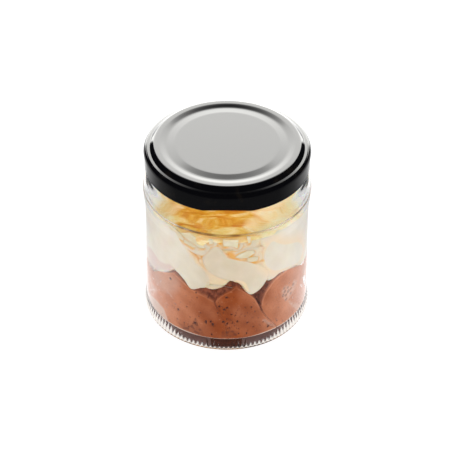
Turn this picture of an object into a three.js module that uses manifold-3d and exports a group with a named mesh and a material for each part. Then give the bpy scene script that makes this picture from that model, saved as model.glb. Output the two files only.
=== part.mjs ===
// Layered chocolate mousse dessert in a glass jar with a black twist-off lid.
// Millimetres, +Z up, origin at the centre of the jar's base; the front faces -Y.
import * as THREE from 'three';
import { mergeVertices } from 'three/addons/utils/BufferGeometryUtils.js';
import Module from 'manifold-3d';

// Driving dimensions of the jar.
const HEEL_RADIUS = 37.5;
const HEEL_ROUNDING = 3.4;
const HEEL_TOP = 5.6;
const PANEL_RADIUS_LOW = 36.7;
const PANEL_RADIUS_HIGH = 36.4;
const PANEL_BOTTOM = 8.6;
const PANEL_TOP = 57;
const SHOULDER_RADIUS = 37.2;
const SHOULDER_HEIGHT = 65.5;
const SHOULDER_BAND = 1.2;
const WALL = 2.2;
const BASE_THICKNESS = 5.4;
const INSIDE_CORNER = 3;
const FOOT_INNER_RADIUS = 27;
const PUNT_HEIGHT = 1.6;
const PUNT_SLOPE = 3;
const NECK_RADIUS = 33.6;
const NECK_FOOT = 78.4;
const NECK_BORE = 31.2;
const RIM_HEIGHT = 86.4;
const RIM_ROUNDING = 1.1;

// Driving dimensions of the lid.
const LID_RADIUS = 36.75;
const LID_BOTTOM = 78.5;
const LID_EDGE_ROUNDING = 1.87;
const CREST_HEIGHT = 89.4;
const CREST_RADIUS = 31.8;
const CREST_INNER_RADIUS = 30;
const GROOVE_RADIUS = 26.6;
const GROOVE_DEPTH = 0.5;
const CENTRE_PANEL_RADIUS = 23.3;
const LEDGE_INNER_RADIUS = 33.9;
const LEDGE_DROP = 1.65;
const LEDGE_FALL = 0.33;
const SHEET = 0.6;
const HEM_CURL = 0.7;
const HEM_HEIGHT = 2.2;

// Driving dimensions of the food.
const GAP = 0.3;
const MOUSSE_LEVEL = 26.5;
const MOUSSE_PEAK = 37.5;
const MOUSSE_LOBE_DEPTH = 16;
const MOUSSE_LOBE_WIDTH = 14.5;
const MOUSSE_LOBE_REACH = 24;
const CREAM_FOOT = 24;
const CREAM_LEVEL = 57.5;
const CREAM_PEAK = 63.5;
const CREAM_INSET = 2.5;
const CREAM_LOBE_WIDTH = 16.5;
const CREAM_LOBE_REACH = 21;
const SAUCE_FOOT = 56.5;
const SAUCE_LEVEL = 62;
const SAUCE_CREEP = 0.8;
const LOBE_COUNT = 7;

// Fineness of the facets.
const RING_SEGMENTS = 42;
const FOOD_SEGMENTS = 36;
const LOBE_SEGMENTS = 11;
const LOBE_ROWS = 7;
const ARC_STEPS = 4;
const SMALL_ARC_STEPS = 3;

const insideRadius = PANEL_RADIUS_HIGH - WALL;
const beyondWall = insideRadius + WALL;

const wasm = await Module();
wasm.setup();

// Points of an arc about (centreR, centreZ), angles in degrees from +r towards +z.
function arc(centreR, centreZ, radius, from, to, steps = ARC_STEPS) {
  const points = [];
  for (let i = 0; i <= steps; i++) {
    const angle = THREE.MathUtils.degToRad(from + ((to - from) * i) / steps);
    points.push([centreR + radius * Math.cos(angle), centreZ + radius * Math.sin(angle)]);
  }
  return points;
}

// Points of a curve that starts straight up or down at one end and bends in or out to the other.
function bend([startR, startZ], [endR, endZ], power, steps) {
  const points = [];
  for (let i = 0; i <= steps; i++) {
    const t = i / steps;
    points.push([startR + (endR - startR) * Math.pow(t, power), startZ + (endZ - startZ) * t]);
  }
  return points;
}

// A turned body: the outline goes round the section in [r, z] pairs.
// The lathe turns about Y, so its outline's height is laid over onto +Z.
function turned(outline, segments = RING_SEGMENTS) {
  const section = outline.map(([r, z]) => new THREE.Vector2(Math.max(r, 0), z));
  const geometry = new THREE.LatheGeometry(section, segments);
  geometry.rotateX(Math.PI / 2);
  return geometry;
}

// The same geometry as a solid for joining and cutting.
function solid(geometry) {
  const bare = geometry.clone();
  bare.deleteAttribute('normal');
  bare.deleteAttribute('uv');
  const merged = mergeVertices(bare, 1e-4);
  const position = merged.getAttribute('position');
  const index = Array.from(merged.getIndex().array);
  const triangles = [];
  for (let i = 0; i < index.length; i += 3) {
    const [a, b, c] = [index[i], index[i + 1], index[i + 2]];
    if (a !== b && b !== c && c !== a) triangles.push(a, b, c);
  }
  const mesh = new wasm.Mesh({
    numProp: 3,
    vertProperties: new Float32Array(position.array),
    triVerts: new Uint32Array(triangles),
  });
  return new wasm.Manifold(mesh);
}

function geometryOf(manifold) {
  const mesh = manifold.getMesh();
  const geometry = new THREE.BufferGeometry();
  geometry.setAttribute('position', new THREE.BufferAttribute(mesh.vertProperties, 3));
  geometry.setIndex(new THREE.BufferAttribute(mesh.triVerts, 1));
  geometry.computeVertexNormals();
  return geometry;
}

// The clear jar: foot ring, rounded heel, label panel, shoulder bulge, neck and bore.
function jarOutline() {
  const heelCentre = [HEEL_RADIUS - HEEL_ROUNDING, HEEL_ROUNDING];
  const lowBand = [SHOULDER_RADIUS, SHOULDER_HEIGHT - SHOULDER_BAND];
  const highBand = [SHOULDER_RADIUS, SHOULDER_HEIGHT + SHOULDER_BAND];
  return [
    [0, PUNT_HEIGHT],
    [FOOT_INNER_RADIUS - PUNT_SLOPE, PUNT_HEIGHT],
    [FOOT_INNER_RADIUS, 0],
    ...arc(...heelCentre, HEEL_ROUNDING, -90, 0),
    [HEEL_RADIUS, HEEL_TOP],
    [PANEL_RADIUS_LOW, PANEL_BOTTOM],
    ...bend([PANEL_RADIUS_HIGH, PANEL_TOP], lowBand, 1.5, 3),
    ...bend(highBand, [NECK_RADIUS, NECK_FOOT], 2.4, 6),
    ...arc(NECK_RADIUS - RIM_ROUNDING, RIM_HEIGHT - RIM_ROUNDING, RIM_ROUNDING, 0, 90, SMALL_ARC_STEPS),
    ...arc(NECK_BORE + RIM_ROUNDING, RIM_HEIGHT - RIM_ROUNDING, RIM_ROUNDING, 90, 180, SMALL_ARC_STEPS),
    [NECK_BORE, NECK_FOOT],
    ...insideWall(0),
    [0, BASE_THICKNESS],
  ];
}

// The inside of the jar below its neck, from the shoulder down to the floor.
function insideWall(inset) {
  const radius = insideRadius - inset;
  const bottom = BASE_THICKNESS + inset;
  const swell = bend([radius, PANEL_TOP], [radius + 0.3, SHOULDER_HEIGHT], 1, 1);
  return [
    [radius - 0.9, SHOULDER_HEIGHT + 6],
    ...swell.reverse(),
    ...arc(radius - INSIDE_CORNER, bottom + INSIDE_CORNER, INSIDE_CORNER, 0, -90, SMALL_ARC_STEPS),
  ];
}

// The lid's outer face from its middle to the top of its skirt: flat centre, shallow ring
// groove, raised crest, sloping ledge and rounded edge. `sheet` gives the face below it.
function lidFace(sheet) {
  const crest = CREST_HEIGHT - sheet;
  const ledge = crest - LEDGE_DROP;
  const edgeRadius = LID_RADIUS - LID_EDGE_ROUNDING;
  const edgeHeight = CREST_HEIGHT - LEDGE_DROP - LEDGE_FALL - LID_EDGE_ROUNDING;
  return [
    [0, crest],
    [CENTRE_PANEL_RADIUS, crest],
    [GROOVE_RADIUS, crest - GROOVE_DEPTH],
    [CREST_INNER_RADIUS, crest],
    [CREST_RADIUS, crest],
    [LEDGE_INNER_RADIUS, ledge],
    ...arc(edgeRadius, edgeHeight, LID_EDGE_ROUNDING - sheet, 80, 0),
  ];
}

// The pressed sheet-metal lid with its skirt and rolled hem.
function lidOutline() {
  const hem = [LID_RADIUS - HEM_CURL, LID_BOTTOM + HEM_CURL];
  return [
    ...lidFace(SHEET),
    [LID_RADIUS - SHEET, LID_BOTTOM + HEM_HEIGHT],
    [hem[0] - HEM_CURL, hem[1] + HEM_CURL / 2],
    ...arc(...hem, HEM_CURL, 180, 360),
    ...lidFace(0).reverse(),
  ];
}

// The space that the food may fill, less a clearance, cut off level at the top.
function foodSpace(top) {
  const wall = insideWall(GAP).filter(([, z]) => z < top);
  const outline = [[0, top], [wall[0][0], top], ...wall, [0, BASE_THICKNESS + GAP]];
  return solid(turned(outline.reverse(), FOOD_SEGMENTS));
}

// One spooned lobe: a bun that narrows to a soft point, leaning towards the wall.
function lobe({ angle, reach, base, peak, width, lean }) {
  const outline = [];
  for (let i = 0; i <= LOBE_ROWS; i++) {
    const t = i / LOBE_ROWS;
    const girth = Math.sqrt(Math.sin(Math.PI * Math.pow(t, 0.8))) * (1 - t / 4);
    const pole = i === 0 || i === LOBE_ROWS;
    outline.push([pole ? 0 : width * girth, base + (peak - base) * t]);
  }
  const geometry = turned(outline, LOBE_SEGMENTS);
  const position = geometry.getAttribute('position');
  for (let i = 0; i < position.count; i++) {
    const rise = (position.getZ(i) - base) / (peak - base);
    position.setX(i, position.getX(i) + lean * rise * rise);
  }
  geometry.translate(reach, 0, 0);
  geometry.rotateZ(THREE.MathUtils.degToRad(angle));
  return solid(geometry);
}

// A ring of unlike lobes; `unevenness` of their place, size and height goes round in waves.
function lobeRing({ turn, reach, base, peak, width, lean, unevenness }) {
  const ring = [];
  for (let i = 0; i < LOBE_COUNT; i++) {
    const wave = Math.sin(i * 2.4 + turn);
    const sway = Math.cos(i * 1.7 + turn);
    ring.push(lobe({
      angle: turn + (360 * i) / LOBE_COUNT + unevenness.turn * sway,
      reach: reach + unevenness.reach * sway,
      base,
      peak: peak + unevenness.peak * wave,
      width: width + unevenness.reach * sway,
      lean: lean + unevenness.reach * wave,
    }));
  }
  return ring;
}

function joined(core, lobes) {
  return lobes.reduce((sum, part) => sum.add(part), solid(turned(core, FOOD_SEGMENTS)));
}

// Chocolate mousse in soft lobes. `swell` grows it, to leave a clearance for what lies on it.
function chocolateMousse(swell) {
  const level = MOUSSE_LEVEL + swell;
  const brow = [insideRadius - 6, level];
  const core = [[0, 0], [beyondWall, 0], [beyondWall, level - 2], brow, [0, level]];
  return joined(core, lobeRing({
    turn: -60,
    reach: MOUSSE_LOBE_REACH,
    base: MOUSSE_LEVEL - MOUSSE_LOBE_DEPTH,
    peak: MOUSSE_PEAK + swell,
    width: MOUSSE_LOBE_WIDTH + swell,
    lean: 3,
    unevenness: { turn: 6, reach: 1, peak: 2 },
  }));
}

// Ivory cream in larger, looser lobes that rest on the mousse and lean on the glass.
function cream(swell) {
  const level = CREAM_LEVEL + swell;
  const waist = insideRadius - CREAM_INSET + swell;
  const brow = [waist - 3, level];
  const core = [[0, CREAM_FOOT], [waist, CREAM_FOOT], [waist, level - 4], brow, [0, level + 1]];
  return joined(core, lobeRing({
    turn: -138,
    reach: CREAM_LOBE_REACH,
    base: CREAM_FOOT + 6,
    peak: CREAM_PEAK + swell,
    width: CREAM_LOBE_WIDTH + swell,
    lean: 2,
    unevenness: { turn: 6, reach: 1, peak: 1.5 },
  }));
}

// Golden sauce, pooled on the cream and run down between its lobes; it creeps up at the glass.
function goldenSauce() {
  const shore = insideRadius - 5;
  const outline = [[0, SAUCE_FOOT], [beyondWall, SAUCE_FOOT], [beyondWall, SAUCE_LEVEL + SAUCE_CREEP],
    [shore, SAUCE_LEVEL], [0, SAUCE_LEVEL]];
  return solid(turned(outline, FOOD_SEGMENTS));
}

function largestPiece(manifold) {
  const pieces = manifold.decompose();
  return pieces.reduce((best, piece) => (piece.volume() > best.volume() ? piece : best));
}

const space = foodSpace(CREAM_PEAK);
const mousseSolid = largestPiece(chocolateMousse(0).intersect(space));
const creamSolid = largestPiece(cream(0).intersect(space).subtract(chocolateMousse(GAP)));
const covered = cream(GAP).add(chocolateMousse(GAP));
const sauceSolid = largestPiece(goldenSauce().intersect(space).subtract(covered));

const glass = new THREE.MeshStandardMaterial({
  color: 0xeef2f0, roughness: 0.03, metalness: 0, transparent: true, opacity: 0.3,
});
const blackLacquer = new THREE.MeshStandardMaterial({ color: 0x08080a, roughness: 0.12, metalness: 0.3 });
const chocolate = new THREE.MeshStandardMaterial({ color: 0xa65a37, roughness: 0.7, metalness: 0 });
const ivory = new THREE.MeshStandardMaterial({ color: 0xe3d8c4, roughness: 0.55, metalness: 0 });
const gold = new THREE.MeshStandardMaterial({ color: 0xe0a038, roughness: 0.25, metalness: 0 });

function piece(name, geometry, material) {
  const mesh = new THREE.Mesh(geometry, material);
  mesh.name = name;
  return mesh;
}

const dessert = new THREE.Group();
dessert.add(piece('jar', turned(jarOutline()), glass));
dessert.add(piece('lid', turned(lidOutline()), blackLacquer));
dessert.add(piece('chocolate_mousse', geometryOf(mousseSolid), chocolate));
dessert.add(piece('cream', geometryOf(creamSolid), ivory));
dessert.add(piece('golden_sauce', geometryOf(sauceSolid), gold));

export default dessert;
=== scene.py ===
"""Looks of a layered mousse dessert in a clear jar with a black twist-off lid.

Shapes are worked out in millimetres and written to the meshes in metres. Angles round the
jar are in degrees from the front (-Y), positive towards +X.
"""

import math

import bpy
import numpy as np
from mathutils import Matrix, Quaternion, Vector


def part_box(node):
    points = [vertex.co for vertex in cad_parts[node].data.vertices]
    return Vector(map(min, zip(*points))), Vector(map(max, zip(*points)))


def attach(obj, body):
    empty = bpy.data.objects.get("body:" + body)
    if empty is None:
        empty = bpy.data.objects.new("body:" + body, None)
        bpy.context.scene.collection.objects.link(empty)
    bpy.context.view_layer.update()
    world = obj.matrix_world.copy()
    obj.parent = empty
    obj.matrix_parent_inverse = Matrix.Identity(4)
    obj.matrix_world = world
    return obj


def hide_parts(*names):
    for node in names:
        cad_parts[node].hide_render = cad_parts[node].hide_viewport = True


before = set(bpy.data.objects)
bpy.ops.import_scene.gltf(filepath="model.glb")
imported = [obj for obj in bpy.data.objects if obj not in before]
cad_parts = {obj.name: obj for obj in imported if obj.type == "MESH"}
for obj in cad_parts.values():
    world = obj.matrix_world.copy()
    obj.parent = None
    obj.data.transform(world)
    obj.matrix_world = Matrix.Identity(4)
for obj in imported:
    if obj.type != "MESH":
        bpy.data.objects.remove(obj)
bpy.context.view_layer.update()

MM = 0.001

# -------- sizes, mostly from the frame


def reach(node):
    """Largest radius, lowest and highest point of a CAD node, in millimetres."""
    low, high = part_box(node)
    return high.x / MM, low.z / MM, high.z / MM


HEEL_RADIUS, _, RIM_HEIGHT = reach("jar")
LID_RADIUS, LID_BOTTOM, LID_TOP = reach("lid")
CREAM_TOP = reach("cream")[2]
SAUCE_FOOT, SAUCE_TOP = reach("golden_sauce")[1:]

# radii of the jar: its panel low down and high up, its shoulder, its neck outside and inside
PANEL_LOW = HEEL_RADIUS - 0.8
PANEL_HIGH = HEEL_RADIUS - 1.1
SHOULDER_RADIUS = HEEL_RADIUS - 0.3
NECK = 33.6
BORE = 31.2
WALL = 2.2
INSIDE = PANEL_HIGH - WALL
MM_PER_DEGREE = math.radians(INSIDE)  # along the inside of the glass
FLOOR_CORNER = 1.5
# heights: the top of the jar's floor, and the mould line round its shoulder
FLOOR = 5.3
MOULD_LINE = 66.8

# -------- curves and relief


def flowing(points, closed=False, steps=8):
    """A smooth curve through given points."""
    p = np.array(points, float)
    if closed:
        before, after, beyond = np.roll(p, 1, 0), np.roll(p, -1, 0), np.roll(p, -2, 0)
    else:
        padded = np.vstack([2 * p[0] - p[1], p, 2 * p[-1] - p[-2]])
        before, after, beyond = padded[:-3], padded[2:-1], padded[3:]
        p = padded[1:-2]
    t = np.linspace(0, 1, steps, endpoint=False)[:, None, None]
    curve = 0.5 * (
        2 * p
        + (after - before) * t
        + (2 * before - 5 * p + 4 * after - beyond) * t**2
        + (3 * p - before - 3 * after + beyond) * t**3
    )
    curve = curve.transpose(1, 0, 2).reshape(-1, 2)
    return curve if closed else np.vstack([curve, points[-1]])


def arc(centre_r, centre_z, radius, start, end, steps=6):
    """Points of an arc in the (r, z) plane, angles in degrees from +r towards +z."""
    angle = np.radians(np.linspace(start, end, steps + 1))
    return np.stack([centre_r + radius * np.cos(angle), centre_z + radius * np.sin(angle)], 1)


def resampled(path, spacing):
    """The same open path with points about `spacing` apart along each of its stretches."""
    path = np.array(path, float)
    out = [path[:1]]
    for a, b in zip(path[:-1], path[1:]):
        n = max(1, int(round(np.linalg.norm(b - a) / spacing)))
        t = np.linspace(0, 1, n + 1)[1:, None]
        out.append(a + (b - a) * t)
    return np.vstack(out)


def smoothstep(low, high, x):
    t = np.clip((x - low) / (high - low), 0, 1)
    return t * t * (3 - 2 * t)


def curve_distance(curve, u, z):
    """Distance from (u, z) to an open curve."""
    best = np.full(np.shape(u), 1e9)
    for (au, az), (bu, bz) in zip(curve[:-1], curve[1:]):
        du, dz = bu - au, bz - az
        t = np.clip(((u - au) * du + (z - az) * dz) / max(du * du + dz * dz, 1e-9), 0, 1)
        best = np.minimum(best, (u - au - t * du) ** 2 + (z - az - t * dz) ** 2)
    return np.sqrt(best)


def turn_from(angle, middle=0):
    """How far round the jar an angle is from another, from -180 to 180 degrees."""
    return (angle - middle + 180) % 360 - 180


def inside_distance(loop, u, z):
    """Distance from (u, z) to a closed loop, positive inside it."""
    inside = np.zeros(np.shape(u), bool)
    for (au, az), (bu, bz) in zip(loop, np.roll(loop, -1, 0)):
        if az != bz:
            inside ^= ((az > z) != (bz > z)) & (u < (bu - au) * (z - az) / (bz - az) + au)
    distance = curve_distance(np.vstack([loop, loop[:1]]), u, z)
    return np.where(inside, distance, -distance)


def ripple(points, size, seed, terms=10):
    """Smooth random relief, about -1 to 1, with bumps about `size` across."""
    rng = np.random.default_rng(seed)
    total = np.zeros(points.shape[:-1])
    for _ in range(terms):
        direction = rng.normal(size=3)
        direction *= 2 * math.pi / (size * rng.uniform(0.8, 1.3) * np.linalg.norm(direction))
        total += np.sin(points @ direction + rng.uniform(0, 2 * math.pi))
    return total * math.sqrt(2 / terms) / 1.5


# -------- meshes


def around(angle, r, z):
    """Points at `angle` degrees round the jar."""
    a = np.radians(angle)
    return np.stack(np.broadcast_arrays(r * np.sin(a), -r * np.cos(a), z), -1)


def linked(name, data):
    """A new object in the scene, for a mesh, a lamp or a camera."""
    thing = bpy.data.objects.new(name, data)
    bpy.context.scene.collection.objects.link(thing)
    return thing


def make_object(name, vertices, faces, material, slot):
    """A smooth piece of the dessert from vertices in millimetres."""
    mesh = bpy.data.meshes.new(name)
    mesh.from_pydata((np.asarray(vertices) * MM).tolist(), [], faces)
    mesh.update()
    mesh.shade_smooth()
    mesh.materials.append(material)
    piece = linked(name, mesh)
    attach(piece, "root")
    return piece


def ring_skin(rings):
    """Vertices and faces of a skin of rings (rows, columns, 3) closed by a pole at each end."""
    rows, columns = rings.shape[:2]
    body = rings[1:-1].reshape(-1, 3)
    vertices = np.vstack([rings[0, :1], body, rings[-1, :1]])
    index = 1 + np.arange((rows - 2) * columns).reshape(rows - 2, columns)
    right = np.roll(index, -1, 1)
    quads = np.stack([index[:-1], right[:-1], right[1:], index[1:]], -1).reshape(-1, 4)
    last = len(vertices) - 1
    faces = quads.tolist()
    faces += [[0, b, a] for a, b in zip(index[0], right[0])]
    faces += [[a, b, last] for a, b in zip(index[-1], right[-1])]
    return vertices, faces


def store(piece, name, values):
    """Give a piece one value for each vertex, for its material to read."""
    attribute = piece.data.attributes.new(name, "FLOAT", "POINT")
    attribute.data.foreach_set("value", np.asarray(values, np.float32).ravel())


def make_skin(name, rings, material, slot, marks):
    """A closed skin of rings as a piece, with the values of its marks; a pole has one of each."""
    piece = make_object(name, *ring_skin(rings), material, slot)
    for mark, values in marks.items():
        values = np.broadcast_to(values, rings.shape[:2])
        store(piece, mark, np.concatenate([values[0, :1], values[1:-1].ravel(), values[-1, :1]]))
    return piece


# -------- materials


def linear(r, g, b):
    """A colour given as 0-255 screen values, for a shader's colour socket."""
    def one(c):
        c /= 255
        return c / 12.92 if c <= 0.04045 else ((c + 0.055) / 1.055) ** 2.4

    return (one(r), one(g), one(b), 1)


class Tree:
    """Shorthand for building a node tree."""

    def __init__(self, tree):
        self.tree = tree

    def add(self, kind, inputs=None, **settings):
        node = self.tree.nodes.new(kind)
        for key, value in settings.items():
            setattr(node, key, value)
        self.feed(node, inputs or {})
        return node

    def feed(self, node, inputs):
        """Give inputs of a node, by name or number, a link or a value."""
        for key, value in inputs.items():
            if isinstance(value, bpy.types.NodeSocket):
                self.tree.links.new(value, node.inputs[key])
            else:
                node.inputs[key].default_value = value

    def ramp(self, factor, stops):
        """A screen colour or a level that follows a factor between the stops."""
        node = self.add("ShaderNodeValToRGB", {"Fac": factor})
        elements = node.color_ramp.elements
        while len(elements) < len(stops):
            elements.new(0.5)
        for element, (place, colour) in zip(elements, stops):
            element.position = place
            element.color = linear(*colour) if isinstance(colour, tuple) else (colour, colour, colour, 1)
        return node.outputs["Color"]

    def mix(self, factor, a, b, blend="MIX"):
        # sockets 6, 7 and output 2 are the colours of a mix node
        node = self.add("ShaderNodeMix", data_type="RGBA", blend_type=blend)
        self.feed(node, {0: factor, 6: a, 7: b})
        return node.outputs[2]

    def math(self, operation, *values):
        node = self.add("ShaderNodeMath", operation=operation)
        self.feed(node, dict(enumerate(values)))
        return node.outputs[0]

    def mapped(self, value, low, high, to_low=0.0, to_high=1.0, interpolation="SMOOTHSTEP"):
        """A value between `low` and `high`, taken to another span and kept within it."""
        return self.add("ShaderNodeMapRange", {
            "Value": value, "From Min": low, "From Max": high, "To Min": to_low, "To Max": to_high,
        }, interpolation_type=interpolation).outputs["Result"]

    def flat_length(self, xyz):
        """Length of a vector's level part, from a node with its separate X and Y."""
        flat = self.add("ShaderNodeCombineXYZ", {"X": xyz.outputs["X"], "Y": xyz.outputs["Y"]})
        length = self.add("ShaderNodeVectorMath", {0: flat.outputs[0]}, operation="LENGTH")
        return length.outputs["Value"]

    def light_path(self, kind):
        """One for rays of this kind, zero for others."""
        return self.add("ShaderNodeLightPath").outputs[kind]

    def end_with(self, factor, first, second):
        """Make a mix of two shaders the surface."""
        mixed = self.add("ShaderNodeMixShader")
        self.feed(mixed, {0: factor, 1: first.outputs[0], 2: second.outputs[0]})
        self.feed(self.tree.nodes["Material Output"], {"Surface": mixed.outputs[0]})

    def place(self):
        return self.add("ShaderNodeTexCoord").outputs["Object"]

    def noise(self, scale, detail=3.0, roughness=0.5, vector=None, distortion=0.0):
        return self.add("ShaderNodeTexNoise", {
            "Vector": vector or self.place(), "Scale": scale, "Detail": detail, "Roughness": roughness,
            "Distortion": distortion,
        }).outputs["Fac"]

    def attribute(self, name):
        """The value that `store` gave to each vertex."""
        return self.add("ShaderNodeAttribute", attribute_name=name).outputs["Fac"]

    def marked(self, colour, tints):
        """A colour with tints laid over it in turn, each as far as its stored value says."""
        for name, tint in tints.items():
            tint = linear(*tint) if isinstance(tint, tuple) else tint
            colour = self.mix(self.attribute(name), colour, tint)
        return colour

    def bump(self, height, distance, strength=1.0):
        return self.add("ShaderNodeBump", {
            "Height": height, "Distance": distance, "Strength": strength,
        }).outputs["Normal"]


def new_material(name):
    material = bpy.data.materials.new(name)
    material.use_nodes = True
    return material, Tree(material.node_tree), material.node_tree.nodes["Principled BSDF"]


def glass_material():
    """Clear glass with the faint waviness of a moulded jar; lamps shine through it. Its heel, foot and
    mould line carry painted light and painted shade.
    """
    material, tree, shader = new_material("clear_glass")
    uneven = tree.noise(70.0, 2.0)
    # painted shade and highlight on the mould line, in brown and pale patches
    mould = tree.ramp(uneven, [(0.44, (214, 200, 186)), (0.56, (112, 84, 62))])
    # a dark painted shadow line under the flutes
    heel = tree.ramp(uneven, [(0.4, (172, 128, 84)), (0.6, (86, 58, 34))])
    # near-white painted light on the heel's teeth, and a lilac-grey painted shade on the foot's underside
    colour = tree.marked((0.992, 0.991, 0.988, 1), {
        "base_shade_paint": (176, 150, 147), "heel_light_paint": (249, 243, 236),
        "seam_shade": tree.mix(tree.attribute("heel_light_paint"), mould, heel),
    })
    # the painted teeth, heel and foot are made partly opaque
    painted_opacity = tree.math("MULTIPLY", tree.attribute("base_shade_paint"), 0.6)
    painted_opacity = tree.math("MAXIMUM", painted_opacity, tree.math("MULTIPLY", tree.attribute("heel_light_paint"), 0.85))
    tree.feed(shader, {
        "Base Color": colour, "Roughness": 0.0, "IOR": 1.5,
        "Transmission Weight": tree.math("SUBTRACT", 1.0, painted_opacity),
        "Normal": tree.bump(tree.noise(60.0, 1.0), 0.00003),
    })
    lit = tree.math("MAXIMUM", tree.light_path("Is Shadow Ray"), tree.light_path("Is Diffuse Ray"))
    tree.end_with(lit, shader, tree.add("ShaderNodeBsdfTransparent"))
    return material


def lacquer_material():
    """Glossy black lacquer on pressed tinplate, with faint brownish smudges."""
    material, tree, shader = new_material("black_lacquer")
    smudge = tree.noise(140.0, 5.0, 0.62, distortion=0.6)
    tree.feed(shader, {
        "Base Color": tree.ramp(smudge, [(0.55, (5, 5, 7)), (0.75, (22, 18, 14))]),
        "Roughness": tree.ramp(smudge, [(0.45, 0.03), (0.8, 0.16)]),
        "Normal": tree.bump(tree.noise(900.0, 2.0), 0.000002),
    })
    return material


def liner_material():
    """Pale gold lacquer on the inside of the lid."""
    material, tree, shader = new_material("lid_liner")
    tone = tree.noise(90.0, 3.0)
    tree.feed(shader, {
        "Base Color": tree.ramp(tone, [(0.3, (240, 224, 186)), (0.7, (246, 234, 206))]),
        "Roughness": 0.35,
    })
    return material


def food_shader(name, roughness, scatter, radius):
    """A soft, barely shining shader for food that lies against glass."""
    material, tree, shader = new_material(name)
    tree.feed(shader, {
        "Roughness": roughness, "Specular IOR Level": 0.2, "Subsurface Weight": scatter,
        "Subsurface Radius": radius, "Subsurface Scale": 1.0,
    })
    return material, tree, shader


def mousse_material():
    material, tree, shader = food_shader("chocolate_mousse", 0.6, 0.1, (0.0012, 0.0006, 0.0003))
    cloud = tree.noise(110.0, 4.0, 0.6)
    dark = tree.ramp(cloud, [(0.3, (124, 54, 15)), (0.7, (148, 70, 23))])
    # the lighter colour is laid on towards the sides as a painted haze, with random tone
    light = tree.ramp(cloud, [(0.3, (192, 120, 84)), (0.7, (208, 140, 104))])
    colour = tree.marked(dark, {"tone": light})
    grain = tree.noise(1500.0, 3.0, 0.6)
    colour = tree.mix(tree.ramp(grain, [(0.35, 0.22), (0.5, 0.0)]), colour, linear(112, 58, 38))
    fleck = tree.noise(520.0, 2.0, 0.5)
    colour = tree.mix(tree.ramp(fleck, [(0.66, 0.0), (0.76, 0.25)]), colour, linear(206, 150, 120))
    # painted shade in recesses and seams, painted highlights on ridges, painted haze and glints with the
    # smears, painted shade in holes
    colour = tree.marked(colour, {
        "recess_shade": tree.ramp(fleck, [(0.35, (103, 50, 33)), (0.65, (145, 79, 54))]),
        "ridge_highlight": (216, 150, 116), "smear_and_sheen": (206, 186, 174), "hole_shade": (74, 40, 36),
    })
    pores = tree.add("ShaderNodeTexVoronoi", {"Vector": tree.place(), "Scale": 900.0})
    height = tree.math("ADD", grain, tree.math("MULTIPLY", pores.outputs["Distance"], 0.6))
    tree.feed(shader, {"Base Color": colour, "Normal": tree.bump(height, 0.00012, 0.5)})
    return material


def cream_material():
    material, tree, shader = food_shader("ivory_cream", 0.42, 0.6, (0.0026, 0.0016, 0.0008))
    cloud = tree.noise(160.0, 3.0)
    # the sides colour is laid on towards the sides as a painted haze; the peach tint is painted shade in
    # recesses, the lilac tint a painted haze
    middle = tree.ramp(cloud, [(0.3, (203, 189, 165)), (0.7, (211, 198, 177))])
    sides = tree.ramp(cloud, [(0.3, (218, 209, 193)), (0.7, (225, 217, 202))])
    colour = tree.marked(middle, {
        "tone": sides, "recess_shade": (232, 206, 168), "smear_and_sheen": (214, 190, 182),
        "stain": (227, 161, 58),
    })
    soft = tree.bump(tree.noise(500.0, 2.0), 0.00005, 0.4)
    tree.feed(shader, {"Base Color": colour, "Normal": soft})
    return material


def sauce_material():
    material, tree, shader = food_shader("golden_sauce", 0.4, 0.4, (0.005, 0.002, 0.0005))
    stretched = tree.add("ShaderNodeMapping", {"Vector": tree.place(), "Scale": (0.35, 1.0, 1.6)})
    cloud = tree.noise(260.0, 4.0, 0.6, stretched.outputs["Vector"], distortion=0.8)
    gold = tree.ramp(cloud, [
        (0.3, (194, 106, 10)), (0.4, (209, 141, 22)), (0.5, (222, 168, 56)),
        (0.6, (233, 199, 114)), (0.76, (244, 228, 184)),
    ])
    pale = tree.ramp(cloud, [(0.35, (248, 216, 154)), (0.65, (250, 238, 212))])
    # the pale tint is partly painted light at the ends; the near-white tint is a painted glare at the sides
    colour = tree.marked(gold, {"pale": pale, "side_glare": (246, 242, 232)})
    soft = tree.bump(tree.noise(300.0, 1.0), 0.00005, 0.3)
    tree.feed(shader, {"Base Color": colour, "Normal": soft})
    return material


def flake_material():
    material, tree, shader = food_shader("ivory_flakes", 0.35, 0.3, (0.003, 0.0018, 0.0008))
    cloud = tree.noise(300.0, 3.0)
    ivory = tree.ramp(cloud, [(0.35, (216, 196, 160)), (0.65, (222, 208, 180))])
    colour = tree.marked(ivory, {"soaked": (242, 204, 124)})
    shaved = tree.bump(tree.noise(700.0, 2.0), 0.00006, 0.5)
    tree.feed(shader, {"Base Color": colour, "Normal": shaved})
    return material


# -------- glass jar

FLUTES = 116
FLUTE_DEPTH = 0.5
FLUTE_TOP = 7.6
COLUMNS_PER_FLUTE = 6
HEEL_ROUNDING = 3.4
HEEL_WIDTH = 7.5  # of the ring that has the flutes, inwards from the jar's side
HEEL_LINE = 2.3  # height of the painted brownish shadow line under the flutes
HOLLOW_RADIUS = 33.0  # of the hollow in the foot, painted grey as the shaded underside seen through the base
MOULD_LINE_WIDTH = 0.7
RIM_ROUNDING = 1.1


def inner_wall():
    """The inside of the jar from its rim down to the middle of its floor, in (r, z)."""
    shoulder = flowing([
        (BORE, RIM_HEIGHT - 4), (BORE, 79.4), (BORE + 0.9, 77.0), (BORE + 2.2, 74.6),
        (INSIDE - 0.1, 71.6), (INSIDE + 0.45, 67.6), (INSIDE + 0.35, 62.6), (INSIDE, 57.0),
    ], steps=3)
    corner = arc(INSIDE - FLOOR_CORNER, FLOOR + FLOOR_CORNER, FLOOR_CORNER, 0, -90, 8)
    return np.vstack([shoulder, resampled([(INSIDE, 55.0), corner[0]], 8.0), corner[1:]])


def inner_radius(z):
    """Radius of the jar's inside at height z."""
    wall = inner_wall()[::-1]
    return np.interp(z, wall[:, 1], wall[:, 0])


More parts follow.
